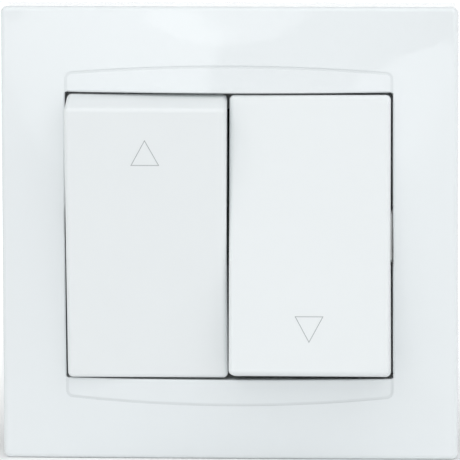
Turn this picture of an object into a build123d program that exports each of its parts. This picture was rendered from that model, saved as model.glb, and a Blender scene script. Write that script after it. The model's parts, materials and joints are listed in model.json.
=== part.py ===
from build123d import *
from math import cos, radians, sin
import os

# Flush-mounted roller shutter switch, millimetres, +Z up.
# The wall is the plane Y = 0 and the switch faces -Y. Heights are counted from the wall towards the
# front, so a height h is Y = -h, and what stands in the wall box has a negative height.
# The origin is the centre of the square at the wall, between the two box screws.

# Cover frame
frame_side = 81.0
frame_edge_height = 7.6
frame_crown = 7.0
frame_wall = 2.0
frame_corner_radius = 1.2
frame_edge_round = 0.9
aperture_width = 58.12
aperture_height = 51.22
aperture_corner = 0.4
aperture_bevel = 0.2
skirt_wall = 1.2
skirt_foot = 4.0
rib_wall = 1.0
rib_foot = 6.0
rib_place = 12.5
groove_width = 0.45
groove_depth = 0.12
groove_corner = 1.2
lens_middle = 30.43
lens_end = 29.08

# Rocker keys
key_gap = 0.46
key_side_gap = 0.4
key_height = 49.4
key_depth = 8.5
key_face_offset = 6.3
key_top_wall = 1.8
key_wall = 1.5
key_draft = 0.45
key_corner_radius = 0.9
key_round = 0.8
key_rib_wall = 1.2
key_rib_x = 6.0
key_rib_z = 16.0
rocker_tilt = 7.57
pivot_height = 8.5

# Bearings
ear_half_foot = 4.6
ear_half_top = 4.0
ear_shoulder = 1.2
ear_top = 1.9
ear_wall = 2.1
ear_clearance = 0.1
post_wall = 3.8
trunnion_radius = 1.2
trunnion_end_gap = 0.4
hub_radius = 1.9
running_clearance = 0.05
thrust_clearance = 0.3
notch_clearance = 0.8

# Yokes, plungers and springs
yoke_half_width = 8.0
yoke_half_height = 11.0
yoke_wall = 1.6
deck_back = 1.6
cheek_half_height = 4.0
hook_wall = 1.2
hook_width = 5.0
hook_barb = 0.5
hook_place = 8.6
hook_clearance = 0.1
tube_wall = 1.0
tube_foot = 5.2
plunger_radius = 2.0
plunger_clearance = 0.1
plunger_reach = 13.0
plunger_length = 11.5
plunger_tip_round = 1.6
spring_wire_radius = 0.25
spring_radius = 1.6
spring_turns = 3

# See-saw contacts and fixed contacts
seesaw_tilt = 6.0
seesaw_thickness = 0.8
seesaw_width = 4.5
seesaw_half_length = 8.9
seesaw_bead_radius = 0.8
plunger_gap = 0.45
contact_place = 7.5
rivet_radius = 1.2
rivet_height = 0.6
contact_gap = 0.05
fixed_rivet_height = 1.4
strap_thickness = 0.8
strap_width = 4.0
trough_half_width = 1.6
trough_half_length = 2.1
trough_drop = 0.3

# Support plate
plate_side = 71.0
plate_thickness = 1.2
plate_chamfer = 5.0
plate_window_height = 38.0
plate_flange_height = 1.6
plate_flange_length = 52.0
screw_spacing = 60.0
slot_width = 4.0
slot_length = 7.0
latch_place = 20.0
tab_width = 8.0
tab_height = 4.4
tab_thickness = 0.8
tab_gap = 0.4
tab_window_width = 5.6
tab_bar = 1.0
leg_width = 6.0
leg_wall = 1.2
leg_clearance = 0.15
leg_foot = 1.6
tooth_width = 5.0
tooth_depth = 0.6
tooth_pitch = 1.25

# Carrier ring
carrier_clearance = 0.2
carrier_flange = 1.2
rim_wall = 1.2
rim_height = 3.1
rim_end = 26.0
stake_z = 18.5
stake_radius = 1.25
stake_head_radius = 2.0
stake_head_height = 0.6

# Switch cover
cover_side_inset = 0.5
cover_height = 43.0
cover_thickness = 1.2
cover_clearance = 0.2
cover_rim_wall = 1.2
cover_window_clearance = 0.6
cover_screw_inset = 3.3
cover_screw_z = 12.0
cover_screw_radius = 1.1
cover_screw_head = 1.9
cover_screw_length = 9.0

# Housing
housing_width = 45.0
housing_height = 44.0
housing_depth = 22.0
housing_chamfer = 6.0
housing_wall = 1.8
housing_floor = 2.0
boss_radius = 2.0
boss_spare_depth = 1.0
seat_side = 2.4
cell_wall = 1.0
cell_height = 6.0

# Terminals
terminal_side = 7.0
terminal_side_inset = 6.0
terminal_end_inset = 3.0
terminal_clearance = 0.3
wire_radius = 2.0
terminal_bore = 1.7
terminal_screw_radius = 1.45
terminal_screw_access = 1.8
terminal_screw_inset = 0.5
terminal_leg_thickness = 0.8
terminal_leg_length = 2.5
terminal_leg_inset = 1.0

# Claws
claw_z = 7.0
claw_width = 6.0
claw_thickness = 1.1
claw_gap = 0.7
claw_pivot_depth = 1.5
claw_head = 0.6
claw_pin_radius = 0.6
claw_lug_wall = 1.0
claw_lug_clearance = 0.1
claw_flange_front = 1.9
claw_flange_reach = 3.4
claw_length = 16.0
claw_foot_reach = 1.8
claw_foot_rise = 1.1
claw_bridge = 1.6
claw_screw_offset = 2.4
claw_screw_radius = 1.2
claw_screw_head = 1.9
claw_screw_length = 14.0

# Screw heads
screw_head_height = 1.2
screw_slot_width = 0.7
screw_slot_depth = 0.6
screw_clearance = 0.3

# Places worked out from the sizes above
front_height = frame_edge_height + frame_crown
key_width = (aperture_width - key_gap) / 2 - key_side_gap
unit_x = (key_gap + key_width) / 2
key_back = key_face_offset - key_depth
key_underside = key_face_offset - key_top_wall
deck_front = deck_back + yoke_wall
floor_front = plate_thickness + cover_thickness
flange_front = plate_thickness + carrier_flange
carrier_width = aperture_width - 2 * carrier_clearance
carrier_height = aperture_height - 2 * carrier_clearance
ear_outer = aperture_width / 2 - ear_clearance
ear_inner = ear_outer - ear_wall
hub_outer = ear_inner - thrust_clearance
hub_inner = post_wall / 2 + thrust_clearance
trunnion_outer = ear_outer - trunnion_end_gap
trunnion_inner = thrust_clearance
tube_bore = plunger_radius + plunger_clearance
plate_window_width = 2 * (unit_x + plunger_radius + cover_window_clearance)
cover_width = housing_width - 2 * cover_side_inset
cover_screw_x = housing_width / 2 - cover_screw_inset
carrier_window_width = cover_width + 2 * cover_clearance
carrier_window_height = cover_height + 2 * cover_clearance
stake_x = (carrier_window_width + carrier_width) / 4
tip_height = pivot_height - plunger_reach * cos(radians(rocker_tilt))
tip_shift = plunger_reach * sin(radians(rocker_tilt))
seesaw_front = tip_height - plunger_gap + tip_shift * sin(radians(seesaw_tilt))
seesaw_axis = seesaw_front - seesaw_thickness
contact_dip = (contact_place + rivet_radius) * sin(radians(seesaw_tilt))
contact_front = seesaw_axis - contact_dip - rivet_height - contact_gap
strap_front = contact_front - fixed_rivet_height
strap_back = strap_front - strap_thickness
cell_back = housing_floor - housing_depth
terminal_back = cell_back + terminal_clearance
terminal_front = strap_back - terminal_leg_length
terminal_length = terminal_front - terminal_back
terminal_middle = (terminal_back + terminal_front) / 2
terminal_x = housing_width / 2 - terminal_side_inset - terminal_side / 2
terminal_end = housing_height / 2 - terminal_end_inset
terminal_z = terminal_end - terminal_side / 2
leg_end = terminal_end - terminal_leg_inset
link_bend_x = terminal_x / 2
seat_place = contact_place - (strap_width - seat_side) / 2
claw_inner = housing_width / 2 + claw_gap
claw_outer = claw_inner + claw_thickness
claw_axis_x = (claw_inner + claw_outer) / 2
claw_screw_x = housing_width / 2 + claw_screw_offset
claw_slot_width = 2 * (claw_screw_radius + running_clearance)
claw_lug_reach = claw_axis_x - housing_width / 2 - claw_lug_clearance
tab_inner = aperture_height / 2 + skirt_wall + tab_gap
tab_outer = tab_inner + tab_thickness
leg_inner = tab_outer + leg_clearance
tooth_front = plate_thickness + tab_height - tab_bar - running_clearance
carrier_stakes = GridLocations(2 * stake_x, 2 * stake_z, 2, 2)
cover_screw_grid = GridLocations(2 * cover_screw_x, 2 * cover_screw_z, 2, 2)
claw_screw_spots = Locations((-claw_screw_x, -claw_z), (claw_screw_x, claw_z))
terminal_spots = ((-terminal_x, -terminal_z), (0, -terminal_z), (terminal_x, terminal_z))


def wall_plane(height):
    """A plane parallel to the wall at a height, with X to the right and Z up the sheet."""
    return Plane.XZ.offset(height)


def side_plane(x, height=0):
    """A plane across X in which the first direction is up and the second one is forward."""
    return Plane(origin=(x, -height, 0), x_dir=(0, 0, 1), z_dir=(1, 0, 0))


def top_plane(z):
    """A plane across Z in which the first direction is to the right and the second one is forward."""
    return Plane(origin=(0, 0, z), x_dir=(1, 0, 0), z_dir=(0, 0, -1))


def tilted_plane(x, height, tilt):
    """A plane at a hinge axis, turned about X so that its upper end comes forward by the tilt."""
    facing = (0, -cos(radians(tilt)), -sin(radians(tilt)))
    return Plane(origin=(x, -height, 0), x_dir=(1, 0, 0), z_dir=facing)


def pillow(side, edge_height, crown):
    """A solid behind a pillowed square face, whose height falls off as a parabola both ways.

    The face passes through a quarter of its middle point's rise, so that point stands four crowns up.
    """
    reach = side / 2
    edge = [edge_height, edge_height, edge_height]
    middle = [edge_height, edge_height + 4 * crown, edge_height]
    rows = []
    for x, heights in ((-reach, edge), (0, middle), (reach, edge)):
        rows.append([(x, -h, z) for z, h in zip((-reach, 0, reach), heights)])
    face = Face.make_bezier_surface(rows)
    block = extrude(face, amount=edge_height + 2 * crown, dir=(0, 1, 0))
    keep = Plane.XZ * Pos(0, 0, edge_height + crown) * Box(side, side, 2 * (edge_height + crown))
    return block & keep


def bearing_outline(grow, foot_height):
    """The outline of a bearing ear around the pivot, or of the notch that clears it."""
    foot = ear_half_foot + grow
    top = ear_half_top + grow / 2
    right = [(foot, foot_height), (foot, ear_shoulder + grow), (top, ear_top + grow)]
    return right + [(-z, h) for z, h in reversed(right)]


def screw_form(radius, length, head_radius):
    """A slotted cheese-head screw that hangs back from the plane of its head's seat."""
    head = Pos(0, 0, screw_head_height / 2) * Cylinder(head_radius, screw_head_height)
    shank = Pos(0, 0, -length / 2) * Cylinder(radius, length)
    slot_middle = screw_head_height - screw_slot_depth / 2
    cutter_length = 2 * (head_radius + screw_slot_width)
    slot = Pos(0, 0, slot_middle) * Box(cutter_length, screw_slot_width, screw_slot_depth)
    return head + shank - slot


# Cover frame: one hollow moulding with a pillowed front, two engraved arcs and four toothed legs
outer_form = pillow(frame_side, frame_edge_height, frame_crown)
inner_form = pillow(frame_side - 2 * frame_wall, frame_edge_height - frame_wall, frame_crown)
middle_form = pillow(frame_side, frame_edge_height - frame_wall / 2, frame_crown)
groove_floor = pillow(frame_side, frame_edge_height - groove_depth, frame_crown)
with BuildPart() as frame_blank:
    with BuildSketch(wall_plane(0)):
        RectangleRounded(frame_side, frame_side, frame_corner_radius)
        RectangleRounded(aperture_width, aperture_height, aperture_corner, mode=Mode.SUBTRACT)
    extrude(amount=front_height)
    add(outer_form, mode=Mode.INTERSECT)
    front_face = frame_blank.faces().filter_by(GeomType.BEZIER)[0]
    fillet(front_face.outer_wire().edges(), radius=frame_edge_round)
    front_face = frame_blank.faces().filter_by(GeomType.BEZIER)[0]
    chamfer(front_face.inner_wires()[0].edges(), length=aperture_bevel)
with BuildPart() as frame_inside:
    with BuildSketch(wall_plane(skirt_foot)):
        Rectangle(aperture_width + 2 * skirt_wall, aperture_height + 2 * skirt_wall)
    extrude(amount=front_height - skirt_foot)
    with BuildSketch(wall_plane(rib_foot)):
        with GridLocations(2 * rib_place, 0, 2, 1):
            Rectangle(rib_wall, frame_side - frame_wall)
        with GridLocations(0, 2 * rib_place, 1, 2):
            Rectangle(frame_side - frame_wall, rib_wall)
    extrude(amount=front_height - rib_foot)
    with BuildSketch(wall_plane(leg_foot)):
        with GridLocations(2 * latch_place, 2 * leg_inner + leg_wall, 2, 2):
            Rectangle(leg_width, leg_wall)
    extrude(amount=front_height - leg_foot)
    for side in (-1, 1):
        with BuildSketch(side_plane(side * latch_place - tooth_width / 2)):
            for upper in (-1, 1):
                for row in (0, 1):
                    top = tooth_front - row * tooth_pitch
                    root = upper * (leg_inner + leg_wall / 2)
                    tip = upper * (leg_inner - tooth_depth)
                    with BuildLine():
                        Polyline((root, top - tooth_pitch), (tip, top), (root, top), close=True)
                    make_face()
        extrude(amount=tooth_width)
    with BuildSketch(wall_plane(0)):
        RectangleRounded(aperture_width, aperture_height, aperture_corner)
    extrude(amount=front_height, mode=Mode.SUBTRACT)
    add(middle_form, mode=Mode.INTERSECT)
with BuildPart() as cover_frame:
    add(frame_blank.part)
    add(inner_form, mode=Mode.SUBTRACT)
    add(frame_inside.part)
    for upper in (-1, 1):
        with BuildSketch(wall_plane(0)) as groove_plan:
            with BuildLine():
                half = aperture_width / 2
                low = upper * (aperture_height / 2 - 2 * groove_width)
                end = upper * lens_end
                ThreePointArc((-half, end), (0, upper * lens_middle), (half, end))
                Polyline((half, end), (half, low), (-half, low), (-half, end))
            make_face()
            outer_corners = groove_plan.vertices().sort_by(Axis.Y, reverse=upper > 0)[:2]
            fillet(outer_corners, radius=groove_corner)
            offset(amount=-groove_width, mode=Mode.SUBTRACT)
        groove = extrude(groove_plan.sketch, amount=front_height, mode=Mode.PRIVATE) - groove_floor
        add(groove, mode=Mode.SUBTRACT)
cover_frame.part.label = "cover_frame"


# Support plate: stamped steel with slots for the box screws, bent latch tabs, edge flanges and claw lugs
with BuildPart() as support_plate:
    with BuildSketch(wall_plane(0)) as plate_plan:
        Rectangle(plate_side, plate_side)
        chamfer(plate_plan.vertices(), length=plate_chamfer)
        Rectangle(plate_window_width, plate_window_height, mode=Mode.SUBTRACT)
        with GridLocations(0, screw_spacing, 1, 2):
            SlotOverall(slot_length, slot_width, rotation=90, mode=Mode.SUBTRACT)
        with cover_screw_grid:
            Circle(cover_screw_radius + screw_clearance, mode=Mode.SUBTRACT)
        with claw_screw_spots:
            Circle(claw_screw_radius + screw_clearance, mode=Mode.SUBTRACT)
        with carrier_stakes:
            Circle(stake_radius + running_clearance, mode=Mode.SUBTRACT)
    extrude(amount=plate_thickness)
    with BuildSketch(wall_plane(plate_thickness)):
        with GridLocations(plate_side - plate_thickness, 0, 2, 1):
            Rectangle(plate_thickness, plate_flange_length)
    extrude(amount=plate_flange_height)
    with BuildSketch(wall_plane(plate_thickness)):
        with GridLocations(2 * latch_place, tab_inner + tab_outer, 2, 2):
            Rectangle(tab_width, tab_thickness)
    extrude(amount=tab_height)
    with BuildSketch(wall_plane(plate_thickness)):
        with GridLocations(2 * latch_place, tab_inner + tab_outer, 2, 2):
            Rectangle(tab_window_width, 2 * tab_thickness)
    extrude(amount=tab_height - tab_bar, mode=Mode.SUBTRACT)
    for side in (-1, 1):
        for edge in (-1, 1):
            lug_middle = side * claw_z + edge * (claw_width / 2 + running_clearance + claw_lug_wall / 2)
            with BuildSketch(top_plane(lug_middle + claw_lug_wall / 2)):
                with Locations((side * claw_axis_x, -claw_pivot_depth / 2)):
                    Rectangle(2 * claw_lug_reach, claw_pivot_depth)
                with Locations((side * claw_axis_x, -claw_pivot_depth)):
                    Circle(claw_lug_reach)
                    Circle(claw_pin_radius + running_clearance, mode=Mode.SUBTRACT)
            extrude(amount=claw_lug_wall)
support_plate.part.label = "support_plate"


# Rocker carrier: a pale moulded ring on the plate, with rims at its ends and the outer bearing ears
with BuildPart() as rocker_carrier:
    with BuildSketch(wall_plane(plate_thickness)):
        Rectangle(carrier_width, carrier_height)
        Rectangle(carrier_window_width, carrier_window_height, mode=Mode.SUBTRACT)
        with claw_screw_spots:
            Circle(claw_screw_head + screw_clearance, mode=Mode.SUBTRACT)
    extrude(amount=carrier_flange)
    with BuildSketch(wall_plane(flange_front)):
        with GridLocations(hub_inner + rim_end, carrier_window_height + rim_wall, 2, 2):
            Rectangle(rim_end - hub_inner, rim_wall)
    extrude(amount=rim_height)
    for start in (-ear_outer, ear_inner):
        with BuildSketch(side_plane(start, pivot_height)):
            with BuildLine():
                Polyline(bearing_outline(0, flange_front - pivot_height - carrier_flange / 2), close=True)
            make_face()
            Circle(trunnion_radius + running_clearance, mode=Mode.SUBTRACT)
        extrude(amount=ear_wall)
    with BuildSketch(wall_plane(plate_thickness)):
        with carrier_stakes:
            Circle(stake_radius + running_clearance)
    extrude(amount=carrier_flange, mode=Mode.SUBTRACT)
rocker_carrier.part.label = "rocker_carrier"

# Carrier rivets: four flush rivets that hold the carrier ring on the plate
with BuildPart() as carrier_rivets:
    with BuildSketch(wall_plane(0)):
        with carrier_stakes:
            Circle(stake_radius)
    extrude(amount=flange_front)
    with BuildSketch(wall_plane(flange_front)):
        with carrier_stakes:
            Circle(stake_head_radius)
    extrude(amount=stake_head_height)
carrier_rivets.part.label = "carrier_rivets"

# Switch cover: the dark front of the mechanism, with plunger windows and the centre bearing post
with BuildPart() as switch_cover:
    with BuildSketch(wall_plane(plate_thickness)):
        Rectangle(cover_width, cover_height)
    extrude(amount=cover_thickness)
    with BuildSketch(wall_plane(plate_thickness)):
        rim_width = plate_window_width - 2 * cover_clearance
        rim_spacing = plate_window_height - 2 * cover_clearance - cover_rim_wall
        with GridLocations(0, rim_spacing, 1, 2):
            Rectangle(rim_width, cover_rim_wall)
    extrude(amount=-plate_thickness)
    with BuildSketch(wall_plane(plate_thickness)):
        with GridLocations(2 * unit_x, 0, 2, 1):
            window_width = 2 * (plunger_radius + cover_window_clearance)
            swing = (plunger_reach + plate_thickness) * sin(radians(rocker_tilt))
            Rectangle(window_width, window_width + 2 * swing)
        with cover_screw_grid:
            Circle(cover_screw_radius + screw_clearance)
    extrude(amount=cover_thickness, mode=Mode.SUBTRACT)
    with BuildSketch(side_plane(-post_wall / 2, pivot_height)):
        with BuildLine():
            Polyline(bearing_outline(0, floor_front - pivot_height - cover_thickness / 2), close=True)
        make_face()
        Circle(trunnion_radius + running_clearance, mode=Mode.SUBTRACT)
    extrude(amount=post_wall)
switch_cover.part.label = "switch_cover"

# Cover screws: they draw the switch cover, the plate and the housing together
cover_screw = screw_form(cover_screw_radius, cover_screw_length, cover_screw_head)
with BuildPart(wall_plane(floor_front)) as cover_screws:
    with GridLocations(2 * cover_screw_x, 2 * cover_screw_z, 2, 2):
        add(cover_screw)
cover_screws.part.label = "cover_screws"


# Housing: a box of insulating moulding for the contacts, open at the front, with three wire entries
with BuildPart() as housing_base:
    with BuildSketch(wall_plane(-housing_depth)) as housing_plan:
        Rectangle(housing_width, housing_height)
        chamfer(housing_plan.vertices(), length=housing_chamfer)
    extrude(amount=housing_depth)
    with BuildSketch(wall_plane(cell_back)) as cavity_plan:
        add(housing_plan.sketch_local)
        offset(amount=-housing_wall, mode=Mode.REPLACE)
    extrude(amount=-cell_back, mode=Mode.SUBTRACT)
    with BuildSketch(wall_plane(cell_back)):
        with cover_screw_grid:
            Circle(boss_radius)
    extrude(amount=-cell_back)
    with BuildSketch(wall_plane(cell_back)):
        with Locations((-unit_x, 0), (unit_x, 0), (-unit_x, seat_place), (link_bend_x, seat_place)):
            Rectangle(seat_side, seat_side)
        with Locations((-unit_x, -seat_place), (unit_x, seat_place)):
            Rectangle(seat_side, seat_side)
    extrude(amount=strap_back - cell_back)
    with BuildSketch(wall_plane(cell_back)):
        with Locations((unit_x, -seat_place)):
            Rectangle(seat_side, seat_side)
    extrude(amount=contact_front - cell_back)
    with BuildSketch(wall_plane(cell_back)) as cell_plan:
        with Locations(*terminal_spots):
            cell_side = terminal_side + 2 * terminal_clearance
            Rectangle(cell_side + 2 * cell_wall, cell_side + 2 * cell_wall)
            Rectangle(cell_side, cell_side, mode=Mode.SUBTRACT)
        add(cavity_plan.sketch_local, mode=Mode.INTERSECT)
    extrude(amount=cell_height)
    with BuildSketch(wall_plane(-housing_depth)):
        with Locations(*terminal_spots):
            Circle(wire_radius)
    extrude(amount=housing_floor, mode=Mode.SUBTRACT)
    with BuildSketch(wall_plane(0)):
        with cover_screw_grid:
            Circle(cover_screw_radius + running_clearance)
    extrude(amount=floor_front - cover_screw_length - boss_spare_depth, mode=Mode.SUBTRACT)
    for x, z in terminal_spots:
        outward = 1 if z > 0 else -1
        with BuildSketch(top_plane(outward * housing_height / 2)):
            with Locations((x, terminal_middle)):
                Circle(terminal_screw_access)
        extrude(amount=outward * (housing_height / 2 - terminal_end), mode=Mode.SUBTRACT)
housing_base.part.label = "housing_base"

# Terminals: brass blocks with a wire bore from the back and a screw from the side
terminal_names = ("terminal_up", "terminal_common", "terminal_down")
terminals = []
for (x, z), name in zip(terminal_spots, terminal_names):
    with BuildPart() as terminal:
        with BuildSketch(wall_plane(terminal_back)):
            with Locations((x, z)):
                Rectangle(terminal_side, terminal_side)
                Circle(terminal_bore, mode=Mode.SUBTRACT)
        extrude(amount=terminal_length)
        with BuildSketch(top_plane(z)):
            with Locations((x, terminal_middle)):
                Circle(terminal_screw_radius + running_clearance)
        extrude(amount=-terminal_side if z > 0 else terminal_side, mode=Mode.SUBTRACT)
    terminal.part.label = name
    terminals.append(terminal)

# Terminal screws: slotted grub screws, backed out so that the wire bores are free
with BuildPart() as terminal_screws:
    for x, z in terminal_spots:
        outward = 1 if z > 0 else -1
        screw_tip = outward * (terminal_z + terminal_bore + running_clearance)
        screw_end = outward * (housing_height / 2 - terminal_screw_inset)
        with BuildSketch(top_plane(screw_end)):
            with Locations((x, terminal_middle)):
                Circle(terminal_screw_radius)
        extrude(amount=screw_end - screw_tip)
        with BuildSketch(top_plane(screw_end)):
            with Locations((x, terminal_middle)):
                Rectangle(2 * (terminal_screw_radius + screw_slot_width), screw_slot_width)
        extrude(amount=outward * screw_slot_depth, mode=Mode.SUBTRACT)
terminal_screws.part.label = "terminal_screws"

# Output contacts: a strap with a contact rivet from the pressed side of each see-saw to its terminal
contacts = []
for side, name in ((-1, "contact_up"), (1, "contact_down")):
    with BuildPart() as contact:
        strap_start = contact_place - strap_width / 2
        leg_z = side * (leg_end - terminal_leg_thickness / 2)
        with BuildSketch(wall_plane(strap_back)):
            with Locations((side * (unit_x + terminal_x) / 2, side * contact_place)):
                Rectangle(abs(unit_x - terminal_x) + strap_width, strap_width)
            with Locations((side * terminal_x, side * (strap_start + leg_end) / 2)):
                Rectangle(strap_width, leg_end - strap_start)
        extrude(amount=strap_thickness)
        with BuildSketch(wall_plane(terminal_front)):
            with Locations((side * terminal_x, leg_z)):
                Rectangle(strap_width, terminal_leg_thickness)
        extrude(amount=strap_front - terminal_front)
        with BuildSketch(wall_plane(strap_front)):
            with Locations((side * unit_x, side * contact_place)):
                Circle(rivet_radius)
        extrude(amount=fixed_rivet_height)
    contact.part.label = name
    contacts.append(contact)

# The trough in which a see-saw rocks, as one outline for both fulcrum contacts
with BuildSketch(side_plane(0)) as trough_outline:
    with BuildLine():
        low_left = (-trough_half_width, strap_back)
        high_right = (trough_half_width, seesaw_axis - trough_drop)
        Polyline(low_left, (high_right[0], low_left[1]), high_right, (low_left[0], high_right[1]), close=True)
    make_face()
    with Locations((0, seesaw_axis)):
        Circle(seesaw_bead_radius + running_clearance, mode=Mode.SUBTRACT)

# Common contact: the feed from its terminal to the fulcrum of the left see-saw
with BuildPart() as contact_common:
    with BuildSketch(wall_plane(strap_back)):
        bar_start = -unit_x - trough_half_length
        bar_end = strap_width / 2
        with Locations(((bar_start + bar_end) / 2, 0)):
            Rectangle(bar_end - bar_start, strap_width)
        with Locations((0, -leg_end / 2)):
            Rectangle(strap_width, leg_end)
    extrude(amount=strap_thickness)
    with BuildSketch(wall_plane(terminal_front)):
        with Locations((0, terminal_leg_thickness / 2 - leg_end)):
            Rectangle(strap_width, terminal_leg_thickness)
    extrude(amount=strap_front - terminal_front)
    with BuildSketch(side_plane(-unit_x - trough_half_length)):
        add(trough_outline.sketch_local)
    extrude(amount=2 * trough_half_length)
contact_common.part.label = "contact_common"

# Interlock link: from the rest contact of the left see-saw to the fulcrum of the right one
with BuildPart() as contact_link:
    with BuildSketch(wall_plane(strap_back)):
        bar_start = -unit_x - strap_width / 2
        bar_end = link_bend_x + strap_width / 2
        with Locations(((bar_start + bar_end) / 2, contact_place)):
            Rectangle(bar_end - bar_start, strap_width)
        with Locations((link_bend_x, contact_place / 2)):
            Rectangle(strap_width, contact_place + strap_width)
        bar_start = link_bend_x - strap_width / 2
        bar_end = unit_x + trough_half_length
        with Locations(((bar_start + bar_end) / 2, 0)):
            Rectangle(bar_end - bar_start, strap_width)
    extrude(amount=strap_thickness)
    with BuildSketch(wall_plane(strap_front)):
        with Locations((-unit_x, contact_place)):
            Circle(rivet_radius)
    extrude(amount=fixed_rivet_height)
    with BuildSketch(side_plane(unit_x - trough_half_length)):
        add(trough_outline.sketch_local)
    extrude(amount=2 * trough_half_length)
contact_link.part.label = "contact_link"


# The moving pieces of both sides: the left key rests with its upper end proud, the right one is turned over
units = []
for side, name in ((-1, "left"), (1, "right")):
    tilt = -side * rocker_tilt
    key_plane = tilted_plane(side * unit_x, pivot_height, tilt)

    # Rocker key: a hollow cap with drafted ends, ribs, bearing notches and two clip hooks
    with BuildPart() as rocker:
        with BuildSketch(key_plane.offset(key_back)):
            RectangleRounded(key_width, key_height + 2 * key_draft, key_corner_radius)
        with BuildSketch(key_plane.offset(key_face_offset)):
            RectangleRounded(key_width, key_height, key_corner_radius)
        loft()
        fillet(rocker.faces().sort_by(Axis.Y)[0].edges(), radius=key_round)
        with BuildSketch(key_plane.offset(key_back)):
            Rectangle(key_width - 2 * key_wall, key_height + 2 * key_draft - 2 * key_wall)
        with BuildSketch(key_plane.offset(key_underside)):
            Rectangle(key_width - 2 * key_wall, key_height - 2 * key_wall)
        loft(mode=Mode.SUBTRACT)
        with BuildSketch(key_plane.offset(deck_front)):
            with GridLocations(2 * key_rib_x, 0, 2, 1):
                Rectangle(key_rib_wall, key_height - key_wall)
            with GridLocations(0, 2 * key_rib_z, 1, 2):
                Rectangle(key_width - key_wall, key_rib_wall)
        extrude(amount=key_underside - deck_front)
        with BuildSketch(key_plane.offset(deck_back - hook_barb)):
            with GridLocations(0, 2 * hook_place, 1, 2):
                Rectangle(hook_width, hook_wall)
        extrude(amount=key_underside - deck_back + hook_barb)
        with BuildSketch(key_plane.offset(deck_back - hook_barb)):
            with GridLocations(0, 2 * hook_place + hook_wall, 1, 2):
                Rectangle(hook_width, 2 * hook_barb)
        extrude(amount=hook_barb - running_clearance)
        notch_plane = Plane(origin=key_plane.origin, x_dir=key_plane.y_dir, z_dir=(1, 0, 0))
        with BuildSketch(notch_plane.offset(-key_width / 2)):
            with BuildLine():
                Polyline(bearing_outline(notch_clearance, key_back), close=True)
            make_face()
        extrude(amount=key_width, mode=Mode.SUBTRACT)
    rocker.part.label = "rocker_" + name
    units.append(rocker)

    # Yoke: a deck under the key, two cheeks, an axle bar with trunnions and the tube for the plunger
    with BuildPart() as yoke:
        with BuildSketch(key_plane.offset(deck_back)):
            Rectangle(2 * yoke_half_width, 2 * yoke_half_height)
            with GridLocations(0, 2 * hook_place, 1, 2):
                slot_height = hook_wall + 2 * hook_clearance
                Rectangle(hook_width + 2 * hook_clearance, slot_height, mode=Mode.SUBTRACT)
        extrude(amount=yoke_wall)
        with BuildSketch(key_plane.offset(-hub_radius)):
            with GridLocations(2 * yoke_half_width - yoke_wall, 0, 2, 1):
                Rectangle(yoke_wall, 2 * cheek_half_height)
        extrude(amount=hub_radius + deck_back)
        for inner, outer, radius in ((hub_inner, hub_outer, hub_radius),
                                     (trunnion_inner, trunnion_outer, trunnion_radius)):
            with BuildSketch(side_plane(side * inner, pivot_height)):
                Circle(radius)
            extrude(amount=side * (outer - inner))
        with BuildSketch(key_plane.offset(-tube_foot)):
            Circle(tube_bore + tube_wall)
        extrude(amount=tube_foot + deck_back)
        with BuildSketch(key_plane.offset(-tube_foot)):
            Circle(tube_bore)
        extrude(amount=tube_foot + deck_back, mode=Mode.SUBTRACT)
    yoke.part.label = "yoke_" + name
    units.append(yoke)

    # Plunger: a round-tipped pin in the tube, which tips the see-saw over
    with BuildPart() as plunger:
        with BuildSketch(key_plane.offset(-plunger_reach)):
            Circle(plunger_radius)
        extrude(amount=plunger_length)
        tip_edge = plunger.edges().filter_by(GeomType.CIRCLE).sort_by(Axis.Y)[-1]
        fillet(tip_edge, radius=plunger_tip_round)
    plunger.part.label = "plunger_" + name
    units.append(plunger)

    # Plunger spring: a coil between the end of the tube and the plunger, drawn with six-sided wire
    with BuildPart() as spring:
        spring_foot = plunger_length - plunger_reach + spring_wire_radius
        spring_height = deck_back - spring_wire_radius - spring_foot
        foot_plane = key_plane.offset(spring_foot)
        with BuildLine() as coil:
            Helix(pitch=spring_height / spring_turns, height=spring_height, radius=spring_radius,
                  center=foot_plane.origin, direction=foot_plane.z_dir)
        with BuildSketch(Plane(origin=coil.line @ 0, z_dir=coil.line % 0)):
            RegularPolygon(spring_wire_radius, 6)
        sweep(is_frenet=True)
    spring.part.label = "spring_" + name
    units.append(spring)

    # See-saw: the moving contact, a strip with a round bead at its fulcrum and two contact rivets
    seesaw_plane = tilted_plane(side * unit_x, seesaw_axis, side * seesaw_tilt)
    with BuildPart() as seesaw:
        with BuildSketch(seesaw_plane):
            Rectangle(seesaw_width, 2 * seesaw_half_length)
        extrude(amount=seesaw_thickness)
        with BuildSketch(side_plane(side * unit_x - seesaw_width / 2, seesaw_axis)):
            Circle(seesaw_bead_radius)
        extrude(amount=seesaw_width)
        with BuildSketch(seesaw_plane.offset(-rivet_height)):
            with GridLocations(0, 2 * contact_place, 1, 2):
                Circle(rivet_radius)
        extrude(amount=rivet_height)
    seesaw.part.label = "seesaw_" + name
    units.append(seesaw)

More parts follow.
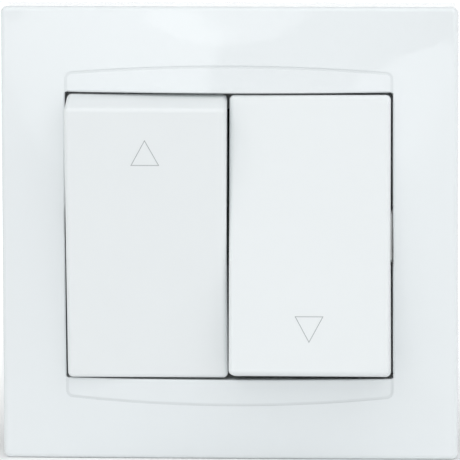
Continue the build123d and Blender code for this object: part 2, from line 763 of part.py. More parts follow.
    # Claw: a forked steel strip at the side of the housing that swings out to grip the wall box
    with BuildPart() as claw:
        middle = side * claw_z
        with BuildSketch(top_plane(middle + claw_width / 2)):
            with BuildLine():
                head_front = claw_head - claw_pivot_depth
                flange_back = -claw_flange_front - claw_thickness
                flange_end = claw_outer + claw_flange_reach
                foot_front = claw_foot_rise - claw_length
                foot_end = claw_outer + claw_foot_reach
                head = [(claw_inner, -claw_length), (claw_inner, head_front), (claw_outer, head_front)]
                bend = [(claw_outer, -claw_flange_front), (flange_end, -claw_flange_front)]
                flange = [(flange_end, flange_back), (claw_outer, flange_back)]
                foot = [(claw_outer, foot_front), (foot_end, -claw_length)]
                outline = head + bend + flange + foot
                Polyline([(side * x, h) for x, h in outline], close=True)
            make_face()
        extrude(amount=claw_width)
        slot_back = -claw_length + claw_bridge
        slot_outer = claw_screw_x + claw_screw_radius + screw_clearance
        slot_middle = side * (claw_inner + slot_outer) / 2
        with BuildSketch(top_plane(middle + claw_slot_width / 2)):
            with Locations((slot_middle, slot_back / 2)):
                Rectangle(slot_outer - claw_inner, -slot_back)
        extrude(amount=claw_slot_width, mode=Mode.SUBTRACT)
        pin_reach = claw_width / 2 + running_clearance + claw_lug_wall
        with BuildSketch(top_plane(middle + pin_reach)):
            with Locations((side * claw_axis_x, -claw_pivot_depth)):
                Circle(claw_pin_radius)
        extrude(amount=pin_reach - claw_slot_width / 2)
        with BuildSketch(top_plane(middle - claw_slot_width / 2)):
            with Locations((side * claw_axis_x, -claw_pivot_depth)):
                Circle(claw_pin_radius)
        extrude(amount=pin_reach - claw_slot_width / 2)
    claw.part.label = "claw_" + name
    units.append(claw)

# Claw screws: reached from the front with the keys off, they draw the claws outward
claw_screw = screw_form(claw_screw_radius, claw_screw_length, claw_screw_head)
with BuildPart(wall_plane(plate_thickness)) as claw_screws:
    with claw_screw_spots:
        add(claw_screw)
claw_screws.part.label = "claw_screws"

# One STEP file for each piece
os.makedirs("parts", exist_ok=True)
front_pieces = [cover_frame, support_plate, rocker_carrier, carrier_rivets, switch_cover, cover_screws]
back_pieces = [housing_base, terminal_screws, contact_common, contact_link, claw_screws]
pieces = front_pieces + back_pieces + terminals + contacts + units
for piece in pieces:
    export_step(piece.part, "parts/" + piece.part.label + ".step")
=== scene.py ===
"""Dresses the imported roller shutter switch.

Adds finishes, direction marks, screws, rivets, springs, soft edges and the stage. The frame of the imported
part is used as it is: the wall is the plane Y = 0, the switch faces -Y, Z is up, and the origin is the
centre of the square. Lengths in this file are metres.
"""

import json
from math import cos, pi, radians, sin

import bmesh
import bpy
from mathutils import Matrix, Vector


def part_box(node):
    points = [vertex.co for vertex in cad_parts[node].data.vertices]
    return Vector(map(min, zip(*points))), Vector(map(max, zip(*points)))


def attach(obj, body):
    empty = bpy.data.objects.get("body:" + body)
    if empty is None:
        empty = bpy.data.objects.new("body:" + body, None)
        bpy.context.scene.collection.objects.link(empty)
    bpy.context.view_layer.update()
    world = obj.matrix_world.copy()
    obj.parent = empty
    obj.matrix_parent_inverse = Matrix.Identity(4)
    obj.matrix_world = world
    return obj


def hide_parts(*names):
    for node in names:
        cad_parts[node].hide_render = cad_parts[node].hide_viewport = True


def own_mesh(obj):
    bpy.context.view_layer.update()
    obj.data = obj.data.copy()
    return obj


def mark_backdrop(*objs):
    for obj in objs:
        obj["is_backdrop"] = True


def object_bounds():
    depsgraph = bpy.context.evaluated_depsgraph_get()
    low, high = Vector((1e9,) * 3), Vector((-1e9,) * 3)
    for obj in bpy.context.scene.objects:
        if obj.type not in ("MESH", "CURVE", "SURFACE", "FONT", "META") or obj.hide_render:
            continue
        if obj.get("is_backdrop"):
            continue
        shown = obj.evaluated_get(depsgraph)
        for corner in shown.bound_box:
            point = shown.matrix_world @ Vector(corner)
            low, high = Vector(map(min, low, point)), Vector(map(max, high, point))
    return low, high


bl_info = {
    "name": "Roller shutter switch",
    "version": (1, 0, 0),
    "blender": (4, 5, 0),
    "location": "View3D > Sidebar > Shutter Switch",
    "description": "Finishes, marks, screws, rivets, springs and soft edges for a roller shutter switch",
    "category": "Object",
}

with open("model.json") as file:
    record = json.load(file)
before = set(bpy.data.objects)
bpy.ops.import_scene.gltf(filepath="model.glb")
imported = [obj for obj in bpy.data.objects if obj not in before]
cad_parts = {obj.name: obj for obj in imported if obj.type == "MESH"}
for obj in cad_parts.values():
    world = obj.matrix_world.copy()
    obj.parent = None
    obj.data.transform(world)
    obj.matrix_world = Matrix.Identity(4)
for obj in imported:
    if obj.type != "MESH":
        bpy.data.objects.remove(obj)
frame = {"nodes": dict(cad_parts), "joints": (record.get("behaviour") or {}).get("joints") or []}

MM = 0.001
SIDES = {"left": -1, "right": 1}
FRONT = (0.0, -1.0, 0.0)
UP = (0.0, 0.0, 1.0)
DOWN = (0.0, 0.0, -1.0)

# The keys at rest: their tilt, and how far their faces stand off their hinges
REST_TILT = radians(7.57)
KEY_FACE_OFFSET = 6.3 * MM

# The two engraved arcs of the frame, and the painted shade in them as a share of the frame's colour
APERTURE_HALF_HEIGHT = 25.61 * MM
GROOVE_HALF = 29.06 * MM
GROOVE_WIDTH = 0.45 * MM
GROOVE_CORNER = 1.2 * MM
GROOVE_SOFTNESS = 0.12 * MM
GROOVE_PAINTED_SHADE = 0.93
LENS_MIDDLE = 30.43 * MM
LENS_END = 29.08 * MM

# Merging, shading and breaking edges
WELD_DISTANCE = 0.002 * MM
SHARP_ANGLE = radians(32)
FLAT_ANGLE = radians(0.3)
EDGE_ANGLE = radians(40)
BREAK_STEPS = 2

# Steps in which the rules draw round forms
ROUND_STEPS = 40
THREAD_STEPS = 8
COIL_STEPS = 48
WIRE_STEPS = 14
DOME_STEPS = 8

# A spring's coils close up by this share at both ends
COIL_CLOSING = 0.4

# A screw head's edge is broken by this share of its height, and its slot's cutter is this many radii long
HEAD_BREAK = 0.15
SLOT_REACH = 3.0

# Corners of a node's box where screws and rivets stand, as right and up, and the slots' turns in degrees
ALL_CORNERS = ((-1, -1), (-1, 1), (1, -1), (1, 1))
OPPOSITE_CORNERS = ((-1, -1), (1, 1))
COVER_SCREW_TURNS = (25.0, 80.0, -40.0, 10.0)
CLAW_SCREW_TURNS = (55.0, -20.0)
TERMINAL_SCREW_TURNS = (15.0, 70.0, -35.0)
RIVET_TURNS = (0.0,) * 4

# Patterns of the finishes in cells to the metre, their detail, and the stretch of the drawing lines
CLOUDS = 60.0
GLOSS_CLOUDS = 220.0
TARNISH = 300.0
CRYSTALS = 420.0
CRYSTAL_CLOUDS = 120.0
FRAME_SKIN = 900.0
INK_GRAIN = 3000.0
SKIN_DETAIL = 3.0
METAL_DETAIL = 4.0
DRAWN_ALONG_Z = (1.0, 1.0, 0.08)

# The darkest tone of each finish, as a share of its colour, and the crystals' share in the zinc's tones
PLASTIC_SHADE = 0.985
METAL_SHADE = 0.8
ZINC_SHADE = 0.72
INK_SHADE = 0.9
CRYSTAL_SHARE = 0.6

# Gloss, the depth of the reliefs and their strength
PLASTIC_IOR = 1.5
FRAME_ROUGHNESS = (0.045, 0.065)
ZINC_ROUGHNESS = (0.30, 0.52)
INK_ROUGHNESS = 0.45
PAPER_ROUGHNESS = 0.9
FRAME_RELIEF = 0.002 * MM
DRAWN_RELIEF = 0.01 * MM
DRAWN_STRENGTH = 0.4
ZINC_RELIEF = 0.02 * MM
ZINC_STRENGTH = 0.3

# The photograph and the camera that took it, from a fit to the frame and the keys
PHOTO_SIDE = 460
FOCAL_PIXELS = 7370
AXIS_PIXEL = (232.0, 227.9)
CAMERA_ROLL = radians(-0.20)

# The sensor that the lens is worked out for, in millimetres, and the nearest that the camera sees
SENSOR_WIDTH = 36.0
CLIP_START = 0.05

# The paper: half its width, where it turns up, its colour, and its glow, which grows from front to back
STAGE = 0.9
BACKDROP = 1.6
PAPER_COLOUR = (0.94, 0.94, 0.94, 1.0)
PAPER_GLOW = 0.42
GLOW_START = -0.015
GLOW_FULL = 0.2
BLACK = (0.0, 0.0, 0.0, 1.0)
WHITE = (1.0, 1.0, 1.0, 1.0)

# The studio: its air and its soft boxes, with angles in degrees and sizes in metres
AIR_COLOUR = (0.97, 0.99, 1.0, 1.0)
AIR_STRENGTH = 0.255
LAMP_COLOUR = (0.975, 0.99, 1.0)
BOX_DISTANCE = 1.3
SOFT_BOXES = (
    # name, azimuth, elevation, width, height, lean, strength
    ("soft_box_left", -20.5, 13.0, 0.60, 0.90, -8.0, 1.38),
    ("soft_box_right", 20.5, 10.0, 0.44, 0.70, 0.0, 1.15),
    ("soft_box_top", 4.0, 45.0, 2.4, 0.86, 0.0, 0.84),
    ("soft_box_above", 0.0, 82.0, 1.8, 1.8, 0.0, 0.66),
    ("soft_box_far_left", -70.0, 25.0, 1.5, 1.5, 0.0, 0.56),
    ("soft_box_far_right", 70.0, 25.0, 1.5, 1.5, 0.0, 0.85),
)


# Graphs: one wrapper for material trees and geometry trees

class Value:
    """A socket of a node tree. Arithmetic on it adds Math nodes to the tree."""

    def __init__(self, graph, socket):
        self.graph = graph
        self.socket = socket

    def __add__(self, other):
        return self.graph.maths("ADD", self, other)

    def __radd__(self, other):
        return self.graph.maths("ADD", other, self)

    def __sub__(self, other):
        return self.graph.maths("SUBTRACT", self, other)

    def __rsub__(self, other):
        return self.graph.maths("SUBTRACT", other, self)

    def __mul__(self, other):
        return self.graph.maths("MULTIPLY", self, other)

    def __rmul__(self, other):
        return self.graph.maths("MULTIPLY", other, self)

    def __truediv__(self, other):
        return self.graph.maths("DIVIDE", self, other)


class Graph:
    """A node tree that is filled through one method."""

    def __init__(self, tree):
        self.tree = tree

    def maths(self, operation, *values):
        """A Math node of the operation on the values."""
        return self.add("ShaderNodeMath", {"operation": operation}, dict(enumerate(values)))

    def limited(self, value):
        """The value, kept between 0 and 1."""
        return self.add("ShaderNodeClamp", {}, {"Value": value})

    def find(self, sockets, key):
        """The socket with this index, identifier or name."""
        if isinstance(key, int):
            return sockets[key]
        for socket in sockets:
            if socket.identifier == key:
                return socket
        return sockets[key]

    def join(self, value, socket):
        """Links a value to a socket, or sets a constant on it."""
        if isinstance(value, Value):
            self.tree.links.new(value.socket, socket)
        else:
            socket.default_value = value

    def node(self, kind, settings=None, sockets=None):
        """Adds a node with its settings, then its sockets' values or links."""
        node = self.tree.nodes.new(kind)
        for setting, value in (settings or {}).items():
            setattr(node, setting, value)
        for key, value in (sockets or {}).items():
            self.join(value, self.find(node.inputs, key))
        return node

    def add(self, kind, settings=None, sockets=None, output=0):
        """Adds a node and gives one of its outputs."""
        node = self.node(kind, settings, sockets)
        return Value(self, self.find(node.outputs, output))


class Finish(Graph):
    """One procedural material round a Principled BSDF, read in Object coordinates."""

    def __init__(self, name, **constants):
        self.material = bpy.data.materials.new(name)
        self.material.use_nodes = True
        super().__init__(self.material.node_tree)
        self.surface = self.tree.nodes["Principled BSDF"]
        for key, value in constants.items():
            socket = key.replace("_", " ").title().replace("Ior", "IOR")
            self.surface.inputs[socket].default_value = value
        self.place = self.add("ShaderNodeTexCoord", output="Object")

    def stretched(self, scale):
        """The place on the object, scaled differently along the three axes."""
        return self.add("ShaderNodeMapping", {}, {"Vector": self.place, "Scale": scale})

    def place_along(self, axis):
        """The place on the object along one axis."""
        return self.add("ShaderNodeSeparateXYZ", {}, {0: self.place}, axis)

    def noise(self, scale, detail=2.0, place=None):
        """Soft noise with this many cells to the metre, from 0 to 1."""
        sockets = {"Vector": place or self.place, "Scale": scale, "Detail": detail}
        return self.add("ShaderNodeTexNoise", {}, sockets, "Fac")

    def cells(self, scale):
        """A random shade for each cell of a mosaic, from 0 to 1."""
        colour = self.add("ShaderNodeTexVoronoi", {}, {"Vector": self.place, "Scale": scale}, "Color")
        return self.add("ShaderNodeSeparateColor", {}, {0: colour}, "Red")

    def between(self, low, high, mask):
        """A number that runs from low to high with the mask."""
        return low + mask * (high - low)

    def blended(self, first, second, mask):
        """A colour between two colours."""
        sockets = {"Factor_Float": mask, "A_Color": first, "B_Color": second}
        return self.add("ShaderNodeMix", {"data_type": "RGBA"}, sockets, "Result_Color")

    def feed(self, socket, value):
        """Feeds a value to the surface."""
        self.join(value, self.surface.inputs[socket])

    def grain(self, height, distance, strength=1.0):
        """A relief of this height map, at most this deep."""
        sockets = {"Height": height, "Distance": distance, "Strength": strength}
        self.feed("Normal", self.add("ShaderNodeBump", {}, sockets, "Normal"))


class Rule(Graph):
    """A Geometry Nodes tree with named sizes, which grows the same form on every seat of a mesh."""

    def __init__(self, name, sizes):
        super().__init__(bpy.data.node_groups.new(name, "GeometryNodeTree"))
        interface = self.tree.interface
        self.identifiers = {}
        seats = interface.new_socket("Seats", in_out="INPUT", socket_type="NodeSocketGeometry")
        for size, value in sizes.items():
            socket = interface.new_socket(size, in_out="INPUT", socket_type="NodeSocketFloat")
            socket.default_value = value
            self.identifiers[size] = socket.identifier
        finish = interface.new_socket("Finish", in_out="INPUT", socket_type="NodeSocketMaterial")
        self.identifiers["Finish"] = finish.identifier
        interface.new_socket("Geometry", in_out="OUTPUT", socket_type="NodeSocketGeometry")
        self.entry = self.node("NodeGroupInput")
        self.exit = self.node("NodeGroupOutput")
        self.seats = self.size(seats.name)

    def size(self, name):
        """The tree's input of this name."""
        return Value(self, self.entry.outputs[name])

    def vector(self, x=0.0, y=0.0, z=0.0):
        """A vector from three values."""
        return self.add("ShaderNodeCombineXYZ", {}, {"X": x, "Y": y, "Z": z})

    def joined(self, *forms):
        """Several forms as one."""
        whole = self.node("GeometryNodeJoinGeometry")
        for form in forms:
            self.join(form, whole.inputs[0])
        return Value(self, whole.outputs[0])

    def picked(self, index, values):
        """The value with this index."""
        switch = self.node("GeometryNodeIndexSwitch", {"data_type": "FLOAT"})
        while len(switch.index_switch_items) < len(values):
            switch.index_switch_items.new()
        for value, socket in zip((index, *values), switch.inputs):
            self.join(value, socket)
        return Value(self, switch.outputs[0])

    def wound(self, rows, shape):
        """A sheet wound round Z and closed.

        The shape gives the radius and the height at a row and a share of a turn.
        """
        sockets = {"Vertices X": ROUND_STEPS + 1, "Vertices Y": rows}
        sheet = self.add("GeometryNodeMeshGrid", {}, sockets, "Mesh")
        index = self.add("GeometryNodeInputIndex")
        column = self.maths("FLOOR", (index + 0.5) / rows)
        turn = column / ROUND_STEPS
        radius, height = shape(index - column * rows, turn)
        across = radius * self.maths("COSINE", turn * (2.0 * pi))
        along = radius * self.maths("SINE", turn * (2.0 * pi))
        sockets = {"Geometry": sheet, "Position": self.vector(across, along, height)}
        placed = self.add("GeometryNodeSetPosition", {}, sockets)
        sockets = {"Geometry": placed, "Distance": WELD_DISTANCE}
        return self.add("GeometryNodeMergeByDistance", {}, sockets)

    def turned(self, profile):
        """A form turned about Z, from the radii and heights of its profile, which starts and ends on Z."""
        radii, heights = zip(*profile)

        def shape(row, turn):
            return self.picked(row, radii), self.picked(row, heights)
        return self.wound(len(profile), shape)

    def threaded(self, radius, length, pitch, depth):
        """A threaded shank that hangs down from the origin, with a run-out at its tip.

        The first and the last row lie on Z and close it.
        """
        rows = self.maths("FLOOR", length / pitch * THREAD_STEPS) + 3.0

        def shape(row, turn):
            down = length * self.limited((row - 1.0) / (rows - 3.0))
            wave = self.maths("ABSOLUTE", self.maths("FRACT", down / pitch - turn) * 2.0 - 1.0)
            crest = depth * wave * self.limited((length - down) / pitch)
            inside = self.limited(row) * self.limited(rows - 1.0 - row)
            return (radius - depth + crest) * inside, 0.0 - down
        return self.wound(rows, shape)

    def slotted(self, form, top, length, width, depth):
        """The form with a screwdriver slot across its top."""
        size = self.vector(length, width, depth * 2.0)
        cutter = self.add("GeometryNodeMeshCube", {}, {"Size": size}, "Mesh")
        sockets = {"Geometry": cutter, "Translation": self.vector(0.0, 0.0, top)}
        placed = self.add("GeometryNodeTransform", {}, sockets)
        settings = {"operation": "DIFFERENCE", "solver": "EXACT"}
        return self.add("GeometryNodeMeshBoolean", settings, {"Mesh 1": form, "Mesh 2": placed}, "Mesh")

    def coiled(self, radius, wire_radius, height, turns):
        """A coil of round wire along Z that starts at the origin and closes up towards both ends."""
        sockets = {"Resolution": COIL_STEPS, "Rotations": turns, "Start Radius": radius,
                   "End Radius": radius, "Height": height}
        spiral = self.add("GeometryNodeCurveSpiral", {}, sockets)
        share = self.add("GeometryNodeSplineParameter", {}, {}, "Factor")
        shift = self.maths("SINE", share * (2.0 * pi)) * height * (-COIL_CLOSING / (2.0 * pi))
        sockets = {"Geometry": spiral, "Offset": self.vector(0.0, 0.0, shift)}
        route = self.add("GeometryNodeSetPosition", {}, sockets)
        ring = self.add("GeometryNodeCurvePrimitiveCircle", {"mode": "RADIUS"},
                        {"Resolution": WIRE_STEPS, "Radius": wire_radius}, "Curve")
        sockets = {"Curve": route, "Profile Curve": ring, "Fill Caps": True}
        return self.add("GeometryNodeCurveToMesh", {}, sockets)

    def plant(self, form):
        """Ends the tree: the form on every seat, turned about Z and then stood along the seat's facing."""
        kind = "GeometryNodeInputNamedAttribute"
        facing = self.add(kind, {"data_type": "FLOAT_VECTOR"}, {"Name": "facing"})
        turn = self.add(kind, {"data_type": "FLOAT"}, {"Name": "turn"})
        sockets = {"Axis": UP, "Angle": turn}
        spin = self.add("FunctionNodeAxisAngleToRotation", {}, sockets)
        sockets = {"Rotation": spin, "Vector": facing}
        stance = self.add("FunctionNodeAlignRotationToVector", {"axis": "Z"}, sockets)
        sockets = {"Points": self.seats, "Instance": form, "Rotation": stance}
        planted = self.add("GeometryNodeInstanceOnPoints", {}, sockets)
        real = self.add("GeometryNodeRealizeInstances", {}, {"Geometry": planted})
        sockets = {"Geometry": real, "Material": self.size("Finish")}
        self.join(self.add("GeometryNodeSetMaterial", {}, sockets), self.exit.inputs["Geometry"])


# Settings

class FinishSettings(bpy.types.PropertyGroup):
    """Colours of the switch's plastics, metals and marks."""

    frame_colour: bpy.props.FloatVectorProperty(
        name="Frame colour", description="Colour of the glossy cover frame",
        default=(0.80, 0.83, 0.84), subtype="COLOR", min=0.0, max=1.0)
    key_colour: bpy.props.FloatVectorProperty(
        name="Key colour", description="Colour of the two satin keys",
        default=(0.80, 0.825, 0.83), subtype="COLOR", min=0.0, max=1.0)
    carrier_colour: bpy.props.FloatVectorProperty(
        name="Carrier colour", description="Colour of the ring and yokes that carry the keys",
        default=(0.80, 0.81, 0.80), subtype="COLOR", min=0.0, max=1.0)
    mechanism_colour: bpy.props.FloatVectorProperty(
        name="Mechanism colour", description="Colour of the switch cover and the plungers",
        default=(0.035, 0.036, 0.04), subtype="COLOR", min=0.0, max=1.0)
    housing_colour: bpy.props.FloatVectorProperty(
        name="Housing colour", description="Colour of the insulating housing in the wall box",
        default=(0.47, 0.48, 0.47), subtype="COLOR", min=0.0, max=1.0)
    zinc_colour: bpy.props.FloatVectorProperty(
        name="Zinc colour", description="Colour of the zinc-plated plate and claws",
        default=(0.66, 0.67, 0.68), subtype="COLOR", min=0.0, max=1.0)
    screw_colour: bpy.props.FloatVectorProperty(
        name="Screw colour", description="Colour of the screws and rivets",
        default=(0.70, 0.69, 0.66), subtype="COLOR", min=0.0, max=1.0)
    spring_colour: bpy.props.FloatVectorProperty(
        name="Spring colour", description="Colour of the plunger springs",
        default=(0.56, 0.57, 0.59), subtype="COLOR", min=0.0, max=1.0)
    copper_colour: bpy.props.FloatVectorProperty(
        name="Copper colour", description="Colour of the contact straps and the see-saws",
        default=(0.83, 0.50, 0.32), subtype="COLOR", min=0.0, max=1.0)
    brass_colour: bpy.props.FloatVectorProperty(
        name="Brass colour", description="Colour of the terminals",
        default=(0.80, 0.62, 0.30), subtype="COLOR", min=0.0, max=1.0)
    mark_colour: bpy.props.FloatVectorProperty(
        name="Mark colour", description="Colour of the printed direction marks",
        default=(0.42, 0.44, 0.45), subtype="COLOR", min=0.0, max=1.0)


class MarkSettings(bpy.types.PropertyGroup):
    """Sizes of the two printed direction marks."""

    width: bpy.props.FloatProperty(
        name="Width", description="Width of a mark's base", default=5.1 * MM, unit="LENGTH")
    height: bpy.props.FloatProperty(
        name="Height", description="Height from a mark's base to its tip",
        default=4.7 * MM, unit="LENGTH")
    base_place: bpy.props.FloatProperty(
        name="Place", description="Distance of a mark's base from the middle of its key",
        default=14.3 * MM, unit="LENGTH")
    line_width: bpy.props.FloatProperty(
        name="Line width", description="Width of a mark's outline", default=0.13 * MM, unit="LENGTH")
    film: bpy.props.FloatProperty(
        name="Film", description="Thickness of the print on the key", default=0.02 * MM, unit="LENGTH")


class FastenerSettings(bpy.types.PropertyGroup):
    """Sizes of the screws and rivets, as in the part."""

    head_radius: bpy.props.FloatProperty(
        name="Head radius", description="Radius of the slotted screw heads",
        default=1.9 * MM, unit="LENGTH")
    head_height: bpy.props.FloatProperty(
        name="Head height", description="Height of the slotted screw heads",
        default=1.2 * MM, unit="LENGTH")
    cover_screw_radius: bpy.props.FloatProperty(
        name="Cover screw radius", description="Radius over the cover screws' thread",
        default=1.1 * MM, unit="LENGTH")
    claw_screw_radius: bpy.props.FloatProperty(
        name="Claw screw radius", description="Radius over the claw screws' thread",
        default=1.2 * MM, unit="LENGTH")
    terminal_screw_radius: bpy.props.FloatProperty(
        name="Terminal screw radius", description="Radius over the terminal screws' thread",
        default=1.45 * MM, unit="LENGTH")
    terminal_screw_length: bpy.props.FloatProperty(
        name="Terminal screw length", description="Length of the terminal screws",
        default=4.25 * MM, unit="LENGTH")
    thread_pitch: bpy.props.FloatProperty(
        name="Thread pitch", description="Distance from one thread to the next",
        default=0.5 * MM, unit="LENGTH")
    thread_depth: bpy.props.FloatProperty(
        name="Thread depth", description="Depth of the thread", default=0.25 * MM, unit="LENGTH")
    slot_width: bpy.props.FloatProperty(
        name="Slot width", description="Width of the screwdriver slots", default=0.7 * MM, unit="LENGTH")
    slot_depth: bpy.props.FloatProperty(
        name="Slot depth", description="Depth of the screwdriver slots", default=0.6 * MM, unit="LENGTH")
    rivet_head_radius: bpy.props.FloatProperty(
        name="Rivet head radius", description="Radius of the domed rivet heads",
        default=2.0 * MM, unit="LENGTH")
    rivet_head_height: bpy.props.FloatProperty(
        name="Rivet head height", description="Height of the domed rivet heads",
        default=0.6 * MM, unit="LENGTH")
    rivet_radius: bpy.props.FloatProperty(
        name="Rivet radius", description="Radius of the rivets in their holes",
        default=1.25 * MM, unit="LENGTH")


class SpringSettings(bpy.types.PropertyGroup):
    """Sizes of the plunger springs, as in the part."""

    coil_radius: bpy.props.FloatProperty(
        name="Coil radius", description="Radius of the wire's centre line",
        default=1.6 * MM, unit="LENGTH")
    wire_radius: bpy.props.FloatProperty(
        name="Wire radius", description="Radius of the spring wire", default=0.25 * MM, unit="LENGTH")
    foot: bpy.props.FloatProperty(
        name="Foot", description="Place of the first coil, counted outwards from the key's hinge",
        default=-1.25 * MM, unit="LENGTH")
    height: bpy.props.FloatProperty(
        name="Height", description="Distance from the first coil to the last",
        default=2.6 * MM, unit="LENGTH")
    turns: bpy.props.FloatProperty(name="Turns", description="Number of coils", default=3.0, min=1.0)


class EdgeSettings(bpy.types.PropertyGroup):
    """Widths of the broken edges."""

    moulded: bpy.props.FloatProperty(
        name="Moulded", description="Width of the broken edges of mouldings",
        default=0.12 * MM, unit="LENGTH")
    pressed: bpy.props.FloatProperty(
        name="Pressed", description="Width of the broken edges of pressed sheet",
        default=0.1 * MM, unit="LENGTH")
    sawn: bpy.props.FloatProperty(
        name="Sawn", description="Width of the broken edges of the terminals",
        default=0.15 * MM, unit="LENGTH")


class StageSettings(bpy.types.PropertyGroup):
    """Camera and light."""

    azimuth: bpy.props.FloatProperty(
        name="Azimuth", description="How far the camera stands to the right", default=radians(3.08),
        subtype="ANGLE")
    elevation: bpy.props.FloatProperty(
        name="Elevation", description="How far the camera stands above", default=radians(8.11),
        subtype="ANGLE")
    distance: bpy.props.FloatProperty(
        name="Distance", description="Distance of the camera from the switch",
        default=1.315, unit="LENGTH")
    light: bpy.props.FloatProperty(
        name="Light", description="Strength of the soft boxes", default=1.0, min=0.0)


# Finishes

def colour_of(value, factor=1.0):
    """A colour property as a socket's colour, made lighter or darker."""
    return tuple(factor * channel for channel in value) + (1.0,)


def moulded(name, colour, roughness, spread, grain_scale, grain_depth, shade):
    """A moulded plastic: a faint cloudiness, a little variation of gloss and a fine skin."""
    finish = Finish(name, roughness=roughness, ior=PLASTIC_IOR)
    tones = colour_of(colour), colour_of(colour, shade)
    finish.feed("Base Color", finish.blended(*tones, finish.noise(CLOUDS)))
    gloss = roughness - spread, roughness + spread
    finish.feed("Roughness", finish.between(*gloss, finish.noise(GLOSS_CLOUDS)))
    finish.grain(finish.noise(grain_scale, SKIN_DETAIL), grain_depth)
    return finish.material


def painted_groove_shade_mask(finish):
    """1 in the two engraved arcs and 0 elsewhere: it places the frame's painted shade.

    Each arc and its two ends run just inside an outline with rounded corners. The mask is worked out from
    how far inside the outline a place lies.
    """
    x, z = (finish.maths("ABSOLUTE", finish.place_along(axis)) for axis in "XZ")
    reach = x / GROOVE_HALF
    from_side = GROOVE_HALF - x
    from_arc = LENS_MIDDLE - (LENS_MIDDLE - LENS_END) * reach * reach - z
    side = finish.maths("MAXIMUM", GROOVE_CORNER - from_side, 0.0)
    arc = finish.maths("MAXIMUM", GROOVE_CORNER - from_arc, 0.0)
    nearest = finish.maths("MINIMUM", from_side, from_arc)
    past_corner = finish.maths("MAXIMUM", nearest - GROOVE_CORNER, 0.0)
    inside = GROOVE_CORNER - finish.maths("SQRT", side * side + arc * arc) + past_corner
    off_line = finish.maths("ABSOLUTE", inside - GROOVE_WIDTH / 2)
    line = finish.limited((GROOVE_WIDTH / 2 + GROOVE_SOFTNESS / 2 - off_line) / GROOVE_SOFTNESS)
    return line * finish.limited((z - APERTURE_HALF_HEIGHT) / GROOVE_SOFTNESS)


def glossy_frame(name, colour):
    """The frame's glossy plastic, a little darker in the engraved arcs: painted shade, so that the arcs read
    more strongly.
    """
    finish = Finish(name, ior=PLASTIC_IOR)
    tones = colour_of(colour), colour_of(colour, PLASTIC_SHADE)
    plain = finish.blended(*tones, finish.noise(CLOUDS))
    # Painted shade: the frame's colour is darkened in the engraved arcs
    darker = colour_of(colour, GROOVE_PAINTED_SHADE)
    finish.feed("Base Color", finish.blended(plain, darker, painted_groove_shade_mask(finish)))
    finish.feed("Roughness", finish.between(*FRAME_ROUGHNESS, finish.noise(GLOSS_CLOUDS)))
    finish.grain(finish.noise(FRAME_SKIN, SKIN_DETAIL), FRAME_RELIEF)
    return finish.material


def metal(name, colour, roughness, spread, scale):
    """A bright metal with fine drawing lines and a little tarnish."""
    finish = Finish(name, metallic=1.0)
    lines = finish.noise(scale, METAL_DETAIL, finish.stretched(DRAWN_ALONG_Z))
    tones = colour_of(colour, METAL_SHADE), colour_of(colour)
    finish.feed("Base Color", finish.blended(*tones, finish.noise(TARNISH, METAL_DETAIL)))
    finish.feed("Roughness", finish.between(roughness - spread, roughness + spread, lines))
    finish.grain(lines, DRAWN_RELIEF, DRAWN_STRENGTH)
    return finish.material


def galvanised(name, colour):
    """Zinc-plated sheet: a mosaic of crystals, each a little lighter or duller."""
    finish = Finish(name, metallic=1.0)
    crystals = finish.cells(CRYSTALS)
    cloud = finish.noise(CRYSTAL_CLOUDS, SKIN_DETAIL)
    tones = colour_of(colour, ZINC_SHADE), colour_of(colour)
    mosaic = crystals * CRYSTAL_SHARE + cloud * (1.0 - CRYSTAL_SHARE)
    finish.feed("Base Color", finish.blended(*tones, mosaic))
    finish.feed("Roughness", finish.between(*ZINC_ROUGHNESS, crystals))
    finish.grain(cloud, ZINC_RELIEF, ZINC_STRENGTH)
    return finish.material


def make_finishes(settings):
    """The finish of every material slot of the record."""
    finishes = {"frame_plastic": glossy_frame("frame_plastic", settings.frame_colour)}
    for slot, *traits in (
            # slot, colour, roughness, its spread, grains to the metre, their depth, darkest tone
            ("key_plastic", settings.key_colour, 0.55, 0.03, 5000.0, 0.004 * MM, PLASTIC_SHADE),
            ("pale_plastic", settings.carrier_colour, 0.50, 0.05, 3000.0, 0.01 * MM, PLASTIC_SHADE),
            ("dark_plastic", settings.mechanism_colour, 0.45, 0.05, 3000.0, 0.01 * MM, 0.8),
            ("housing_plastic", settings.housing_colour, 0.48, 0.06, 2500.0, 0.02 * MM, 0.85)):
        finishes[slot] = moulded(slot, *traits)
    finishes["zinc_steel"] = galvanised("zinc_steel", settings.zinc_colour)
    for slot, *traits in (
            # slot, colour, roughness, its spread, lines to the metre
            ("screw_steel", settings.screw_colour, 0.28, 0.06, 2600.0),
            ("spring_steel", settings.spring_colour, 0.25, 0.05, 2600.0),
            ("contact_copper", settings.copper_colour, 0.30, 0.07, 2200.0),
            ("terminal_brass", settings.brass_colour, 0.30, 0.06, 2200.0)):
        finishes[slot] = metal(slot, *traits)
    return finishes


def finish_of(slot):
    """The finish that belongs to a material slot."""
    return bpy.data.materials[slot + "_finish"]


# Pieces

def show_piece(name, mesh, body, slot, *nodes):
    """Shows a finished mesh as a piece of a body, in the place of CAD nodes where there are any."""
    piece = bpy.data.objects.new(name, mesh)
    bpy.context.scene.collection.objects.link(piece)
    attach(piece, body)
    if nodes:
        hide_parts(*nodes)
    return piece


def seat_mesh(name, seats):
    """Single vertices, each with the direction in which its form stands and its turn about it."""
    places, facings, turns = zip(*seats)
    mesh = bpy.data.meshes.new(name)
    mesh.from_pydata(places, [], [])
    facing = mesh.attributes.new("facing", "FLOAT_VECTOR", "POINT")
    facing.data.foreach_set("vector", [part for vector in facings for part in vector])
    turn = mesh.attributes.new("turn", "FLOAT", "POINT")
    turn.data.foreach_set("value", turns)
    return mesh


